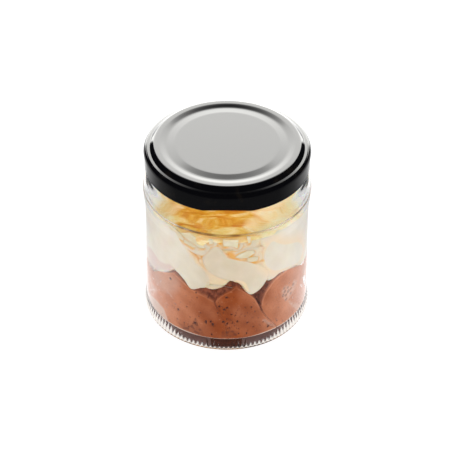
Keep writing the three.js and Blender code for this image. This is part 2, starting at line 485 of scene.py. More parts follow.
def jar_profile():
    """The jar's outline in (r, z), from the middle of its foot up, over its rim and down to its
    floor, and how many of its points are foot, lie below the shoulder, and lie outside.
    """
    foot = [(0, 1.6), (12, 1.6), (22, 1.5), (25.5, 0.9), (27.5, 0.25), (29.5, 0.0), (33.2, 0.0)]
    heel = arc(HEEL_RADIUS - HEEL_ROUNDING, HEEL_ROUNDING, HEEL_ROUNDING, -78, 0, 12)
    panel = flowing([
        (HEEL_RADIUS, 4.8), (HEEL_RADIUS - 0.2, 6.4), (PANEL_LOW + 0.05, 8.2),
        (PANEL_LOW, 10.5), (PANEL_LOW - 0.1, 26.0), (PANEL_HIGH, 42.0), (PANEL_HIGH, 56.0),
        (PANEL_HIGH + 0.28, 59.6), (SHOULDER_RADIUS - 0.14, 62.6),
    ], steps=4)
    mould_line = [(0, -0.9), (0.02, -0.4), (0.16, 0), (-0.1, 0.4), (-0.12, 1.0)]
    bulge = [(-0.18, 68.7), (-0.5, 71.0), (-0.94, 73.2), (-1.62, 75.2), (-2.5, 76.9)]
    shoulder = flowing(
        [(SHOULDER_RADIUS + out, MOULD_LINE + up) for out, up in mould_line]
        + [(SHOULDER_RADIUS + out, height) for out, height in bulge]
        + [(NECK + 0.3, 78.2), (NECK, 79.2), (NECK, 82.0)], steps=3)
    rim = arc(NECK - RIM_ROUNDING, RIM_HEIGHT - RIM_ROUNDING, RIM_ROUNDING, 0, 90, 3)
    lip = arc(BORE + RIM_ROUNDING, RIM_HEIGHT - RIM_ROUNDING, RIM_ROUNDING, 90, 180, 3)
    outside = [foot, heel, panel, shoulder, rim]
    counts = np.cumsum([len(stretch) for stretch in outside])
    return np.vstack(outside + [lip, inner_wall()[1:], [(0, FLOOR)]]), counts[[0, 2, 4]]


def jar_rings():
    """Rings of the jar's skin with its flutes, and where painted light and shade lie on it: white teeth, a
    grey foot and dark lines.
    """
    path, (foot_rows, low_rows, outside_rows) = jar_profile()
    columns = FLUTES * COLUMNS_PER_FLUTE
    angle = np.arange(columns) * 360 / columns
    r, z = path[:, 0][:, None], path[:, 1][:, None]
    row = np.arange(len(path))[:, None]
    on_heel = (row < low_rows) & (r > HEEL_RADIUS - HEEL_WIDTH)
    in_hollow = (row < foot_rows) & (r < HOLLOW_RADIUS)
    flute = 1 - np.abs(np.cos(np.radians(angle * FLUTES / 2)))
    fade = (1 - smoothstep(FLUTE_TOP - 1.8, FLUTE_TOP, z)) * smoothstep(HEEL_LINE - 1.0, HEEL_LINE, z)
    fade = np.where(on_heel, fade, 0)
    # the painted white teeth, light seen through the flute grooves, are short in front and reach higher at
    # the sides
    from_front = np.abs(turn_from(angle))
    root = HEEL_LINE + 0.5 * smoothstep(6, 24, from_front) + 2.2 * smoothstep(24, 52, from_front)
    tip = 0.7 + 0.7 * smoothstep(6, 24, from_front) + 2.2 * smoothstep(28, 52, from_front)
    lit_tooth = smoothstep(-0.4, 0.4, root + tip * flute ** 0.75 - z) * smoothstep(-0.3, 0.1, z - HEEL_LINE)
    # painted shade and highlight along the mould line
    mould_line_shade = np.exp(-(((z - MOULD_LINE) / MOULD_LINE_WIDTH) ** 4)) * (row < outside_rows)
    marks = {
        # a lilac-grey painted shade on the foot's underside, nearly clear in front
        "base_shade_paint": np.where(in_hollow, 0.02 + 0.98 * smoothstep(13, 17, from_front), 0.0),
        # a painted shadow line under the flutes, and the mould line's painted shade
        "seam_shade": np.where(on_heel, smoothstep(0.1, -0.3, z - HEEL_LINE), mould_line_shade),
        # painted white light on the teeth, and the heel under its line made opaque
        "heel_light_paint": np.where(on_heel, np.maximum(lit_tooth, z < HEEL_LINE), 0.0),
    }
    return around(angle, r - FLUTE_DEPTH * fade * flute, z), marks


def build_jar(material):
    rings, marks = jar_rings()
    piece = make_skin("glass_jar", rings, material, "clear_glass", marks)
    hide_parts("jar")


# -------- lid

LID_SHEET = 0.5
LID_COLUMNS = 360
LID_EDGE_ROUNDING = 1.87
LID_EDGE_DROP = 1.98
LID_MIDDLE_DROP = 0.15
HEM_RADIUS = 0.7
LUGS = 4
LUG_WIDTH = 21.0
LUG_RISE = 1.1
LUG_INSET = 0.25


def lid_top():
    """The lid's outer face from its middle out to the top of its skirt, in (r, z)."""
    # in (r, drop), the drop from the height of the raised rim
    flat = resampled([(0, LID_MIDDLE_DROP), (22.1, LID_MIDDLE_DROP)], 5.0)
    pressed_ring = flowing([
        (22.5, LID_MIDDLE_DROP), (23.1, 0.18), (23.9, 0.28), (25.8, 0.53), (26.6, 0.6), (27.4, 0.52),
        (29.0, 0.16), (29.9, 0.02), (31.4, 0), (32.0, 0.1),
    ], steps=5)
    slope = flowing([
        (32.3, 0.27), (32.7, 0.55), (33.3, 1.02), (33.7, 1.38), (34.0, 1.55), (34.5, 1.68), (35.2, 1.86),
    ], steps=4)
    drops = np.vstack([flat, pressed_ring, slope])
    face = np.stack([drops[:, 0], LID_TOP - np.maximum(drops[:, 1], 0)], 1)
    rounding = LID_EDGE_ROUNDING
    edge = arc(LID_RADIUS - rounding, LID_TOP - LID_EDGE_DROP - rounding, rounding, 76, 0, 12)
    return np.vstack([face, edge])


def lid_rings():
    """Rings of the pressed sheet, and the row where its inner face begins."""
    outer = lid_top()
    skirt = resampled([outer[-1], (LID_RADIUS - 0.1, LID_BOTTOM + 1.5)], 0.6)[1:]
    curl = arc(LID_RADIUS - HEM_RADIUS - 0.02, LID_BOTTOM + HEM_RADIUS + 0.02, HEM_RADIUS, 20, -200, 10)
    inner = outer[::-1] - (0, LID_SHEET)
    inner[:, 0] = np.minimum(inner[:, 0], LID_RADIUS - 0.6)
    path = np.vstack([outer, skirt, curl, [(LID_RADIUS - 0.6, LID_BOTTOM + 2.4)], inner])
    # the path starts at the top, so the columns run the other way round for faces that look outwards
    angle = -np.arange(LID_COLUMNS) * 360 / LID_COLUMNS
    r, z = path[:, 0][:, None], path[:, 1][:, None]
    pitch = 360 / LUGS
    from_lug = (angle + pitch / 2) % pitch - pitch / 2
    along = np.abs(from_lug) * math.radians(LID_RADIUS)
    on_skirt = (1 - smoothstep(LID_BOTTOM + 1.5, LID_BOTTOM + 3.6, z)) * (r > NECK)
    lug = np.clip(1 - (2 * along / LUG_WIDTH) ** 2, 0, 1) * on_skirt
    return around(angle, r - LUG_INSET * lug, z + LUG_RISE * lug), len(path) - len(inner)


def build_lid(lacquer, liner):
    rings, inner_row = lid_rings()
    piece = make_skin("lacquered_lid", rings, lacquer, "black_lacquer", {})
    piece.data.materials.append(liner)
    # the last faces are those at the middle of the top, then those at the middle of the liner
    faces = piece.data.polygons
    liner_faces = range((inner_row - 1) * LID_COLUMNS, len(faces) - 2 * LID_COLUMNS)
    liner_middle = range(len(faces) - LID_COLUMNS, len(faces))
    for index in (*liner_faces, *liner_middle):
        faces[index].material_index = 1
    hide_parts("lid")


# -------- food

INTO_GLASS = 0.06  # how far the food reaches into the glass that it touches
LOBE_MARGIN = 9.0  # a lobe is worked out this far round its outline
BURIED = 40.0  # depth of a lobe beyond that
CROWN_WIDTH = 5.0  # how far inside its outline a lobe's crown flattens out

MOUSSE_PATH_TOP = 39.5
MOUSSE_CORE = 4.6
TINY_HOLES = 260
CREAM_FOOT = 28.0
CREAM_CORE = 4.2
CREAM_FOOT_INSET = 8.5
SAUCE_FOOT_INSET = 6.4
SAUCE_EDGE_HEIGHT = 61.4  # below this the sauce stands off the glass


def column_angles():
    """Angles of the food's columns: close together in front, wider apart behind."""
    front_end, side_end = 62, 100
    front = np.arange(-front_end, front_end, 0.38)
    side = np.arange(front_end, side_end, 0.66)
    back = np.arange(side_end, 360 - side_end, 1.1)
    return np.concatenate([front, side, back, (360 - side)[:0:-1]])  # -front_end comes only once


def lobe_depth(lobe, angle, z):
    """How far behind the glass one spooned lobe lies, and how far inside its outline.

    A lobe's middle lies `rest` behind the glass and its border `crown` deeper. Outside its outline,
    which `inset` shrinks, it rounds off over `edge` and then falls away as steeply as `cliff`.
    """
    outline = flowing(lobe["outline"], closed=True)
    middle = outline[:, 0].mean()
    u = turn_from(angle, middle) * MM_PER_DEGREE
    loop = np.stack([(outline[:, 0] - middle) * MM_PER_DEGREE, outline[:, 1]], 1)
    near = np.abs(u) < np.abs(loop[:, 0]).max() + LOBE_MARGIN
    near = near & (z > loop[:, 1].min() - LOBE_MARGIN) & (z < loop[:, 1].max() + LOBE_MARGIN)
    depth = np.full(near.shape, BURIED)
    inside = np.full(near.shape, -LOBE_MARGIN)
    u, z = np.broadcast_arrays(u, z)
    d = inside_distance(loop, u[near], z[near]) - lobe.get("inset", 0.0)
    out = np.maximum(-d, 0)
    edge = lobe.get("edge", 1.6)
    t = np.minimum(out / edge, 1)
    rounded = edge * (1 - np.sqrt(1 - t * t)) + np.maximum(out - edge, 0) * lobe.get("cliff", 3)
    dome = lobe.get("crown", 0.0) * (1 - smoothstep(0, CROWN_WIDTH, d))
    depth[near] = lobe.get("rest", 0.0) + rounded + dome
    inside[near] = d
    return depth, inside


def turned_copy(lobe, turn, flip=False, lift=0.0, stretch=1.0):
    """The same kind of lobe elsewhere round the jar, mirrored, lifted or widened on request."""
    points = np.array(lobe["outline"], float)
    middle = points[:, 0].mean()
    points[:, 0] = (points[:, 0] - middle) * (-1 if flip else 1) * stretch + middle + turn
    points[:, 1] += lift * smoothstep(8, 30, points[:, 1])
    return {**lobe, "outline": (points[::-1] if flip else points).tolist()}


# outlines of the lobes, in (angle, height)
MOUSSE_LEFT = {"edge": 0.3, "cliff": 8, "outline": [
    (-110, 2), (-114, 12), (-110, 22), (-98, 27), (-86, 29), (-76, 29.6), (-68, 30.4), (-58.3, 32),
    (-50.8, 33.9), (-45.6, 35.6), (-41.6, 36.8), (-37.6, 35.9), (-31.8, 34), (-27.4, 32.4), (-22.1, 31.1),
    (-17.1, 30.1), (-13, 29), (-9.6, 27.6), (-8.2, 25.6), (-6.4, 22.8), (-4.2, 19.4), (-2.2, 15.8),
    (-0.6, 11.6), (0.6, 8), (1.4, 4.5), (1.2, 1.5),
]}
MOUSSE_CENTRE = {"edge": 0.3, "cliff": 8, "outline": [
    (1.8, 1.5), (2, 5), (1.2, 8.4), (0.2, 11.8), (-1.4, 15.8), (-3.6, 20), (-6, 24), (-7.9, 27),
    (-5.8, 29.6), (-1.8, 32), (2.1, 33.6), (4.9, 35), (6.2, 35.8), (8.3, 35.5), (12.7, 33.1),
    (17.1, 30.6), (20.6, 27.9), (22.9, 24.9), (24.5, 22.4), (26.8, 19.1), (29.7, 15.8), (34, 11.8),
    (38.6, 7.9), (40, 4.5), (40.4, 1.5),
]}
MOUSSE_RIGHT = {"edge": 0.4, "cliff": 8, "outline": [
    (41.2, 1.5), (40.9, 4.7), (39.4, 8.3), (34.8, 12.3), (30.5, 16.3), (27.8, 19.7), (26.8, 22.2),
    (26.9, 24.1), (27.4, 26.2), (28.4, 28), (30.3, 30.2), (33.2, 32.3), (37, 34.4), (41, 35.6), (46, 36),
    (51.4, 36.4), (60.2, 35), (70.6, 30.6), (80.7, 30), (92, 28), (104, 23), (111, 12), (108, 1.5),
]}
MOUSSE_BEHIND = [
    {"edge": 1.0, "cliff": 5, "rest": 2.0, "crown": 0.7, "outline": [
        (-52, 10), (-56, 24), (-50, 37), (-42, 41), (-34, 39.6), (-26, 36), (-18, 33.5), (-11, 31),
        (-5, 26), (-2, 15), (-10, 8),
    ]},
    {"edge": 1.0, "cliff": 5, "rest": 1.3, "crown": 0.5, "outline": [
        (-10, 8), (-9, 27), (-7, 31), (-3, 35.5), (1.4, 39.6), (6, 39.4), (12, 36.6), (19, 32.5),
        (21.6, 26), (20, 14), (12, 8),
    ]},
    {"edge": 1.0, "cliff": 5, "rest": 2.2, "crown": 0.7, "outline": [
        (26, 10), (24, 22), (24.5, 29.5), (27, 33.5), (32, 35.5), (40, 38), (52, 38.6), (64, 36.2),
        (78, 31), (84, 16), (60, 8),
    ]},
]

CREAM_LEFT = {"edge": 1.8, "inset": 0.4, "outline": [
    (-52, 69), (-44, 65.5), (-38.3, 61.6), (-34.1, 56.8), (-30.1, 53.6), (-26.9, 50.2), (-22.3, 47.2),
    (-17.1, 44), (-14.2, 41.1), (-13.5, 38.3), (-15.8, 35.8), (-20.4, 34.7), (-23.4, 33.6), (-26.5, 32.7),
    (-28.2, 33.4), (-30.9, 35.6), (-34.6, 37.8), (-40, 39.7), (-44.7, 41.4), (-49.4, 46), (-55, 50.6),
    (-60.4, 55.4), (-66, 61), (-70, 68),
]}
CREAM_TONGUE = {"edge": 1.6, "inset": 0.3, "outline": [
    (-8.4, 58.3), (-11.9, 56.3), (-15.2, 52.8), (-16.2, 49.9), (-14.8, 46.8), (-10.6, 43.9), (-4.9, 42),
    (0.8, 40.7), (6.5, 39.9), (11.3, 37.8), (14.6, 34.2), (16.6, 31.9), (18.8, 31.3), (22.7, 32.3),
    (27.4, 34.9), (30.4, 37.8), (31.8, 40.2), (30.2, 42.5), (26.4, 44.9), (20.2, 48), (14.3, 50),
    (5.7, 51.9), (-0.6, 53.2), (-3.4, 55.2), (-5.5, 58),
]}
CREAM_RIGHT = {"edge": 1.8, "inset": 0.4, "outline": [
    (28, 47.7), (28.6, 53), (30.4, 56.4), (33.4, 57.6), (37.8, 56.6), (43.4, 53.8), (48.6, 50.8),
    (55.4, 49), (62, 46), (67, 42), (69.7, 38.1), (68.2, 34.8), (61.7, 34), (56.2, 34.8), (48.1, 37),
    (41.1, 37.8), (36.4, 36.8), (32.6, 36.4), (31.6, 38.4), (32, 40.8), (29.4, 44.2),
]}
CREAM_BEHIND = [
    # low swell between the left lobe and the tongue
    {"edge": 2.4, "inset": 1.0, "rest": 0.5, "crown": 0.4, "outline": [
        (-26, 46), (-23, 37), (-19.6, 35.2), (-15.2, 34.4), (-11, 34), (-7.4, 34.6), (-3, 36.2),
        (0.8, 38.8), (3.4, 41), (2, 47), (-12, 50),
    ]},
    # the dip between the left lobe and the tongue
    {"edge": 3.0, "rest": 1.5, "crown": 0.9, "outline": [
        (-44, 63), (-32, 52), (-22, 46), (-17, 44), (-14.6, 52), (-13.6, 58), (-18, 63.5), (-34, 66),
    ]},
    # two swells above the tongue
    {"edge": 3.4, "rest": 0.6, "crown": 0.6, "outline": [
        (-13, 56), (-12, 60), (-8, 63), (-4, 63), (0.4, 60.4), (2.4, 57.4), (2.6, 54.5), (1, 50),
        (-8, 50),
    ]},
    {"edge": 3.4, "rest": 0.3, "crown": 0.4, "outline": [
        (11.5, 46), (9.6, 52), (11.6, 57.8), (15.6, 62.6), (21, 64), (26, 61), (28, 55), (27.6, 47),
        (31, 41), (22, 42),
    ]},
    # underside of the tongue's drooping end
    {"edge": 1.2, "inset": 0.6, "rest": 0.8, "crown": 0.4, "outline": [
        (2.4, 42), (4.3, 39.4), (9.3, 35.9), (12.6, 33.4), (14.5, 32.3), (17.4, 31.6), (20, 36), (16, 42),
    ]},
    # below the right dollop
    {"edge": 2.0, "inset": 0.7, "rest": 0.7, "crown": 0.4, "outline": [
        (26, 44), (28.4, 38), (32, 35.8), (37, 35), (43, 36.2), (50, 36.6), (52, 42), (38, 48),
    ]},
    # right of the right dollop, up to the shoulder
    {"edge": 2.2, "inset": 0.3, "outline": [
        (26, 60), (34, 62.5), (44, 63.5), (56, 65), (72, 66), (90, 64), (100, 52), (96, 38), (84, 32),
        (72, 31.4), (60, 34), (46, 40), (36, 50),
    ]},
    # left of the left lobe
    {"edge": 1.4, "inset": 0.3, "outline": [
        (-46, 50), (-43, 42), (-43.4, 39.4), (-50, 35.6), (-56, 33), (-63, 29.4), (-74, 25), (-90, 23),
        (-102, 44), (-104, 56), (-96, 65), (-74, 68), (-56, 66),
    ]},
]


def food_path(foot, top, spacing, top_spacing, foot_inset=0.0):
    """Outline of a filling, from the middle of its foot, up the wall, to the middle of its top."""
    if foot <= FLOOR:
        corner = arc(INSIDE - FLOOR_CORNER, FLOOR + FLOOR_CORNER, FLOOR_CORNER, -90, 0, 10)
        start = np.vstack([resampled([(0, FLOOR), corner[0]], 4.0), corner[1:]])
    else:
        start = resampled([(0, foot), (INSIDE, foot)], 5.0) * (1 - foot_inset / INSIDE, 1)
    z = np.arange(start[-1][1] + spacing, top - 1.0, spacing)
    wall = np.stack([inner_radius(z), z], 1)
    brow_radius = 1.2
    brow = arc(wall[-1][0] - brow_radius, wall[-1][1], brow_radius, 10, 90, 5)
    return np.vstack([start, wall, brow, resampled([brow[-1], (0, brow[-1][1])], top_spacing)[1:]])


def spread(path):
    """Columns' angles, a path's radii and heights as rows, and the points where they cross."""
    angle, r, z = column_angles(), path[:, 0][:, None], path[:, 1][:, None]
    return angle, r, z, around(angle, r, z)


def path_normals(path):
    """Unit vectors square to a path in (r, z), pointing out of what it encloses."""
    along = np.gradient(path, axis=0)
    normal = np.stack([along[:, 1], -along[:, 0]], 1)
    return normal / np.linalg.norm(normal, axis=1, keepdims=True)


def filling(name, path, depth, material, slot, marks):
    """A filling whose skin lies `depth` millimetres inside its turned outline."""
    angle, r, z, _ = spread(path)
    normal = path_normals(path)
    r = np.maximum(r - normal[:, 0][:, None] * depth, 0.0)
    z = z - normal[:, 1][:, None] * depth
    r[0] = r[-1] = 0
    z[0], z[-1] = z[1].mean(), z[-2].mean()
    return make_skin(name, around(angle, r, z), material, slot, marks)


def touching(depth, relief=0.0):
    """A depth with relief where the food is free, and a little into the glass where it is not."""
    return np.where(depth < 0.02, -INTO_GLASS, depth + np.minimum(depth, 1) * relief)


def merged(lobes, angle, z, core):
    """Depth of the foremost lobe over a core, and how far inside each lobe every point is."""
    depths, inside = np.swapaxes([lobe_depth(lobe, angle, z) for lobe in lobes], 0, 1)
    return np.minimum(core, depths.min(0)), inside


def seams(inside):
    """One where two lobes meet, fading to zero about half a millimetre off."""
    second, first = np.sort(inside, axis=0)[-2:]
    return np.exp(-(((first - second) / 0.55) ** 2)) * smoothstep(-1.1, -0.4, first)


def ridges(inside):
    """One along the free upper edges of lobes, where they catch the light."""
    upper = np.gradient(inside, axis=1) < 0
    edge = upper * np.exp(-(((inside - 0.1) / 0.3) ** 2))
    return edge.max(0) * smoothstep(-0.6, -1.6, np.sort(inside, axis=0)[-2])


def softened(field, rows, columns):
    """Mean of a field over this many rows and columns to each side."""
    for axis, half in ((0, rows), (1, columns)):
        window = range(-half, half + 1)
        field = sum(np.roll(field, step, axis) for step in window) / len(window)
    return field


def spots(places, angle, z):
    """One at the middle of each (angle, height, radius, tallness) spot, zero outside it."""
    total = np.zeros(np.broadcast(angle, z).shape)
    for centre, height, radius, tall in places:
        across = turn_from(angle, centre) * MM_PER_DEGREE
        total = np.maximum(total, np.exp(-((across**2 + ((z - height) / tall) ** 2) / radius**2) ** 2))
    return total


def blot(outline, angle, z, soft=0.5):
    """One inside an outline in (angle, height), fading to zero over `soft` at its edge."""
    inside = lobe_depth({"outline": outline}, angle, z)[1]
    return smoothstep(-soft, soft, inside)


def blots(outlines, angle, z, soft=0.5):
    """The same for several outlines together."""
    return np.max([blot(outline, angle, z, soft) for outline in outlines], axis=0)


# holes in the mousse, painted dark as shade, and the bubbles of its air pocket, as (angle, height, radius,
# tallness)
AIR_HOLES = [
    (-5.2, 25.2, 0.44, 1), (-1.6, 23.5, 0.52, 1), (0.4, 24.5, 0.48, 1), (-6.3, 21.3, 0.24, 1.4),
    (3.7, 20.7, 0.4, 1), (6.6, 20.2, 0.24, 1), (-2.2, 16.3, 0.56, 1), (0.6, 15.4, 0.4, 1.3),
    (-0.2, 14.5, 0.32, 1), (4.5, 15.5, 0.28, 1), (8, 16.4, 0.44, 1), (0.2, 30.4, 0.64, 0.6),
    (-44.9, 32.8, 0.56, 1.1), (18.4, 23.5, 0.4, 1), (-15, 15.3, 0.4, 2.6), (-11.4, 15.8, 0.36, 2),
    (-10, 14.4, 0.48, 1.6), (-37.6, 17.4, 0.56, 1), (-23.6, 13.2, 0.4, 1.6), (-25, 12.6, 0.24, 1),
    (3, 17.4, 0.24, 1), (15.4, 15, 0.32, 1.4), (15, 8.6, 0.28, 2), (-10.6, 8.4, 0.28, 2),
    (32, 9.4, 0.56, 1), (-22.6, 30.9, 0.32, 1), (-30, 21.2, 0.32, 1), (9, 9.2, 0.32, 1),
]
AIR_POCKET = [
    (46.5, 27, 0.5, 1), (50.3, 26.1, 0.5, 1), (53.9, 24.1, 0.45, 1), (56.9, 25.4, 0.6, 1),
    (47.1, 25, 0.6, 1), (51, 23.8, 0.7, 1), (45.4, 23.3, 0.6, 1.2), (48.3, 22.5, 0.6, 1),
    (48.9, 19.9, 0.5, 1), (54, 21.4, 0.5, 1),
]
# outlines in (angle, height): where the mousse's foot is torn, painted dark as shade, and where it is
# smeared thin
RAGGED_FOOT = [
    [(-3.5, 9.4), (-2.4, 11), (-0.6, 11.4), (1.5, 10.8), (2.4, 13), (3.7, 11.4), (6.6, 11.1), (9.5, 9.7),
     (8.6, 8.4), (4.6, 7.4), (0.8, 7.2), (-2.8, 7.1)],
    [(-38.1, 10.2), (-32.8, 9.6), (-26.1, 11.7), (-24.6, 14.6), (-22.8, 16.6), (-21.4, 14), (-19.6, 11.4),
     (-17.4, 9.6), (-17.2, 7), (-26.2, 6.6), (-32.8, 7.2)],
    [(28, 14.8), (31.2, 12.6), (34.7, 10.6), (38.3, 8.4), (41.4, 7.6), (36, 7.8), (31, 10.4)],
]
SMEARS = [
    # beside the right seam's foot
    [(27.5, 14.3), (30, 12.2), (33.5, 9.8), (36.6, 8), (38, 8.2), (34.3, 10.8), (30, 13.8)],
    # by the air pocket, down to the right
    [(50.7, 18.4), (54.4, 14.4), (61.4, 8.6), (66, 6.4), (72, 7.4), (66, 9.4), (58, 13.8)],
    # the air pocket itself
    [(57.5, 27.4), (55.4, 25.6), (52.6, 26.2), (48.1, 28.2), (45.1, 27.6), (43.6, 25.2), (45.2, 22),
     (50.4, 18.6), (53.4, 19.8), (57, 20.9), (60.5, 22.7), (61, 25.4)],
    # thin streak and two patches on the left
    [(-55, 26.8), (-48.8, 25.4), (-43.7, 23.8), (-42.4, 22.5), (-47.8, 23.3), (-53.5, 25)],
    [(-72.2, 19.2), (-66.3, 20.2), (-60.1, 20.1), (-64.9, 16.5), (-70.4, 15.6)],
]
# painted pale haze at its left foot, over the cream's left foot and below that, and
# the place where it stands off the glass
HAZE = [
    (-51.3, 5), (-51.7, 11.7), (-56.5, 12.8), (-60.5, 13.2), (-66, 12.8), (-72, 11.5), (-78, 10),
    (-85, 9), (-94, 8), (-94, 5),
]
FILM = [
    (-82, 34), (-74, 38.5), (-68.1, 39.5), (-61.6, 39), (-57.5, 38.4), (-51.5, 39.2), (-45, 40.9),
    (-41.2, 40), (-41.3, 38.3), (-46.2, 36.6), (-54, 34.7), (-60.7, 31.3), (-67, 31.3), (-74, 27),
]
PALE_SIDE = [(-64, 33), (-50, 36), (-40, 36), (-36, 33), (-40, 27), (-50, 23), (-64, 24)]
MOUSSE_GAP = [(76, 21.5), (75, 19.6), (79, 14.6), (85.4, 9.8), (91, 10), (86.1, 16)]


def floor_depth(angle, r, points):
    """Clearance over the jar's floor: the mousse touches it only in front and in patches."""
    contact = (np.abs(turn_from(angle)) < 15) | (ripple(points, 16, 41) > 0.75)
    return np.where(r > INSIDE - 1.2, 0.5, np.where(contact, -INTO_GLASS, 0.35))


def build_mousse(material):
    rng = np.random.default_rng(5)
    path = food_path(FLOOR, MOUSSE_PATH_TOP, 0.27, 2.2)
    angle, r, z, points = spread(path)
    from_front = np.abs(turn_from(angle))
    back = [
        turned_copy(MOUSSE_CENTRE, 118, True, -1.0, 1.15), turned_copy(MOUSSE_CENTRE, 155, False, 1.5),
        turned_copy(MOUSSE_RIGHT, 128, False, 0.5, 0.9), turned_copy(MOUSSE_CENTRE, -118, True, 0.0, 1.1),
    ]
    lobes = [MOUSSE_LEFT, MOUSSE_CENTRE, MOUSSE_RIGHT]
    lobes += [{**lobe, "edge": 1.4, "cliff": 2.5} for lobe in back]
    behind = MOUSSE_BEHIND + [turned_copy(b, 180, False, 1.0) for b in MOUSSE_BEHIND]
    behind += [turned_copy(MOUSSE_BEHIND[1], turn, True) for turn in (90, -90)]
    depth, inside = merged(lobes + behind, angle, z, MOUSSE_CORE + 0.8 * ripple(points, 14, 3))
    depth = touching(depth, 0.3 * ripple(points, 5, 11) + 0.15 * ripple(points, 1.8, 12))
    inside = inside[:len(lobes)]
    # where lobes meet: pushed back, and painted in shade
    seam_shade = seams(inside) * (0.15 + 0.85 * smoothstep(14, 24, z))
    seam_shade *= 1 - 0.7 * smoothstep(10, 4, from_front)
    tiny = [(rng.uniform(0, 360), rng.uniform(8, 32), rng.uniform(0.14, 0.3), rng.uniform(0.8, 1.8))
            for _ in range(TINY_HOLES)]
    hole_shade = np.maximum(spots(AIR_HOLES, angle, z), 0.6 * spots(tiny, angle, z))
    gap = blot(MOUSSE_GAP, angle, z, 0.4)
    depth = depth + 0.5 * seam_shade + 0.7 * hole_shade + 0.8 * gap
    depth = np.where(z < FLOOR + 0.5, floor_depth(angle, r, points), depth)
    on_top = smoothstep(INSIDE - 3.0, INSIDE - 5.0, r) * (z > MOUSSE_PATH_TOP - 1.5)
    depth = depth * (1 - on_top) + 0.3 * on_top
    # painted shade: bubbles in the air pocket are dark rings, and the torn foot is dark; painted highlight:
    # a thin glint runs above the floor's corner
    pocket = spots(AIR_POCKET, angle, z)
    torn = 0.35 + 0.65 * smoothstep(0.0, 0.8, ripple(points, 2.2, 14))
    ragged = blots(RAGGED_FOOT, angle, z, 0.3) * torn
    rings = 2.4 * pocket * (1 - pocket) + 0.2 * pocket
    smears = blots(SMEARS, angle, z, 0.9) * (0.34 + 0.12 * ripple(points, 1.6, 16))
    above = z - FLOOR
    glint_width = 0.5 + 0.5 * smoothstep(15, 30, from_front)
    glint = smoothstep(0.5, 0.2, above - glint_width) * smoothstep(0.4, 0.5, above)
    pale = [blots((FILM, HAZE), angle, z), 1.3 * glint, 0.4 * blot(PALE_SIDE, angle, z, 2.5)]
    # lighter towards the sides as a painted haze, with random tone
    tone = 0.08 + 0.82 * smoothstep(4, 55, from_front) + 0.12 * ripple(points, 9, 15)
    piece = filling("mousse_lobes", path, depth, material, "chocolate_mousse", {
        # painted shade in recesses and seams
        "recess_shade": np.maximum(smoothstep(0.05, 0.8, depth) * (1 - gap), 0.8 * seam_shade),
        # painted highlight along the free upper edges
        "ridge_highlight": (0.12 + 0.3 * smoothstep(10, 35, from_front)) * ridges(inside) * smoothstep(18, 24, z),
        # painted shade in holes, bubble rings, the torn foot and under the mousse
        "hole_shade": np.clip(rings + 1.2 * hole_shade + 0.6 * ragged + 0.6 * (z < FLOOR + 0.2), 0, 1),
        "tone": np.clip(tone, 0, 1),
        # smears, with painted haze and a painted glint
        "smear_and_sheen": np.maximum(smears, 0.7 * np.max(pale, axis=0)),
    })
    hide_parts("chocolate_mousse")


# outlines in (angle, height): the shavings that lie on the glass, which are shown at two turns
# round the jar, and the hollow in the cream behind those on the left
GLASS_FLAKES = [
    [(-33.6, 62.4), (-27.4, 64.2), (-22.5, 62.5), (-19.6, 60.2), (-16.2, 58.3), (-15.6, 57.5),
     (-17.1, 57), (-19.4, 56.7), (-22.2, 58.1), (-25.5, 59.5), (-29.4, 60.7), (-32.4, 61.4)],
    [(-31.5, 59.5), (-25.5, 58.1), (-21.7, 57.4), (-24.6, 56.2), (-28.5, 56.9), (-32, 57.6)],
    [(-44.7, 62.5), (-40.4, 63.4), (-34.3, 61.7), (-31.9, 59.9), (-32.3, 58.4), (-36.1, 59),
     (-41.4, 60.5)],
    [(-2.8, 63.5), (8.2, 63), (7.9, 58.5), (6.8, 58.5), (5.4, 59.3), (3.3, 59.6), (-2.3, 59.7)],
    [(13.9, 64.6), (16.6, 64), (16.8, 60.9), (15.3, 60.5), (14.4, 62.9)],
    [(6, 53), (8.6, 54.6), (14.9, 56.2), (19.4, 55.8), (20.6, 54.2), (14.9, 52), (10.4, 52.3)],
    [(14.9, 52.2), (22.8, 51.7), (23.3, 50.5), (22.4, 49.3), (17.7, 49.5), (14.9, 50.1)],
    [(-12.8, 63), (-10.2, 63.2), (-9.6, 60.8), (-12.4, 60.4)],
]
FLAKE_TURNS = (0, 150)
FLAKE_BED = [
    (-48, 63), (-40, 64.6), (-28, 65.4), (-20, 63.6), (-14.6, 59), (-15, 55.4), (-21, 54.6), (-28, 55.6),
    (-35, 57), (-43, 60),
]
# outlines of marks on the cream: the stain over the tongue, the painted peach shade round the right dollop,
# and the shade under the tongue's end
GOLDEN_SEAM = [
    (0.5, 56), (5.5, 55), (8.6, 52.6), (14, 50.2), (21, 49), (27, 49), (27, 47.8), (18, 48), (10, 49.6),
    (4.6, 51.6), (0.5, 53.6),
]
DOLLOP = [
    (34.8, 57.7), (31.5, 56.4), (28.7, 53.7), (27.6, 50), (28.9, 46.1), (31.8, 43.1), (36.1, 40.8),
    (41.6, 39.3), (49.7, 38.1), (59.6, 36.1), (67.3, 35.8), (70.9, 38.7), (68.5, 43), (61.6, 47.5),
    (52.5, 50.4), (45, 52.6), (39.2, 55.3),
]
TONGUE_UNDERSIDE = [
    (6.9, 40.1), (9.8, 39.9), (13, 38.7), (15.1, 36.4), (16.2, 33.1), (14.2, 33), (10.5, 35.6),
    (6.9, 38.4),
]


def flake_beds(outlines):
    """Flat places in the cream just behind shavings."""
    return [{"edge": 3.0, "rest": 0.1, "inset": -0.5, "outline": [(a + turn, h) for a, h in outline]}
            for outline in outlines for turn in FLAKE_TURNS]


